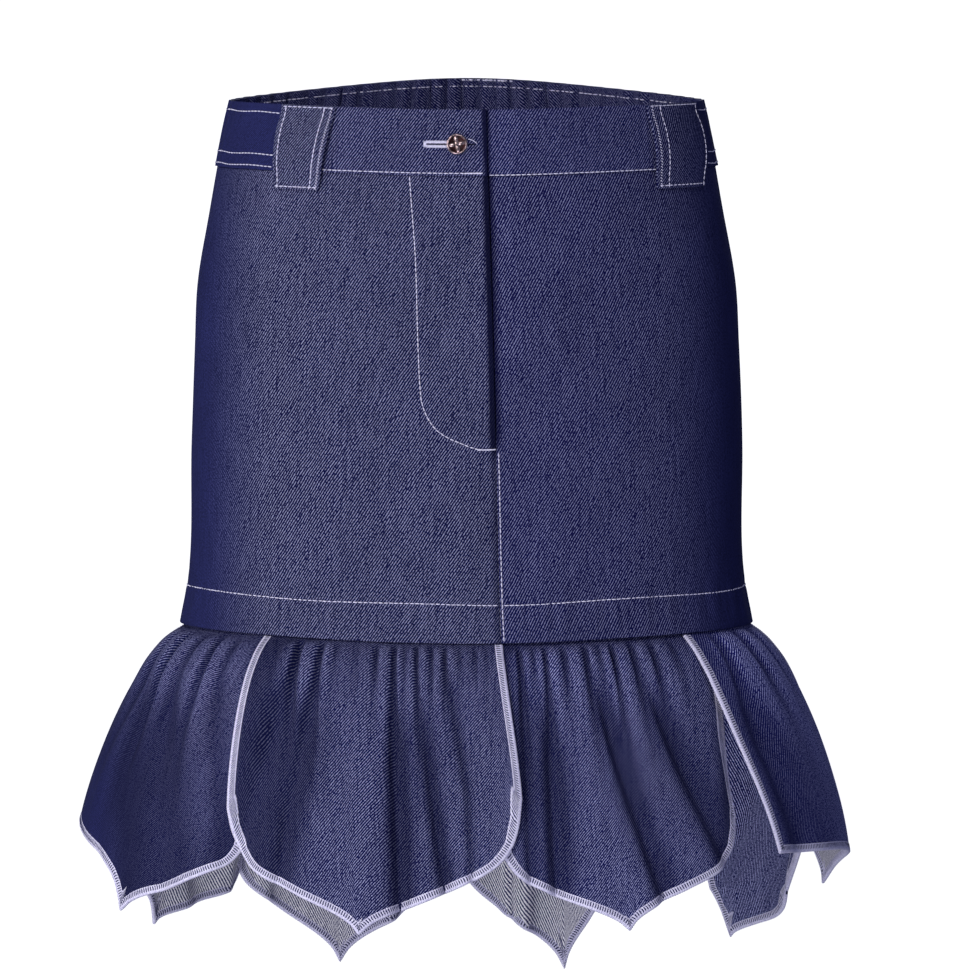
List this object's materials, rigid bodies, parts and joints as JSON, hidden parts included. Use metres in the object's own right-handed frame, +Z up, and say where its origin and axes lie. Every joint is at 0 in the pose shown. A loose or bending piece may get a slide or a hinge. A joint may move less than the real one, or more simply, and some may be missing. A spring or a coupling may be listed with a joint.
{
  "type": "denim skirt",
  "caption": "Short worn-form denim skirt with a buttoned front waistband, elastic back, belt loops and a gathered flounce of pointed overlapping petals.",
  "frame": {"origin": "middle of the waist opening, level with the waist edge at the sides, where the wearer's waist holds the skirt up", "axes": "+Z up, the front faces -Y, the wearer's left is +X"},
  "size_m": [0.4858, 0.3395, 0.577],
  "materials": {
    "denim": "dark indigo twill, matte",
    "thread": "pale lilac-white sewing thread",
    "button_metal": "dark bronzed metal with a worn rim"
  },
  "bodies": {
    "root": {"front_panel_right": "denim", "front_panel_left": "denim", "back_panel": "denim", "fly_shield": "denim", "waistband_front_right": "denim", "waistband_front_left": "denim", "waistband_back": "denim", "belt_loop_right": "denim", "belt_loop_left": "denim", "button": "button_metal", "petal_side_right": "denim", "petal_front_right": "denim", "petal_front_left": "denim", "petal_side_left": "denim", "petal_back_outer_left": "denim", "petal_back_left": "denim", "petal_back_right": "denim", "petal_back_outer_right": "denim"}
  },
  "joints": []
}
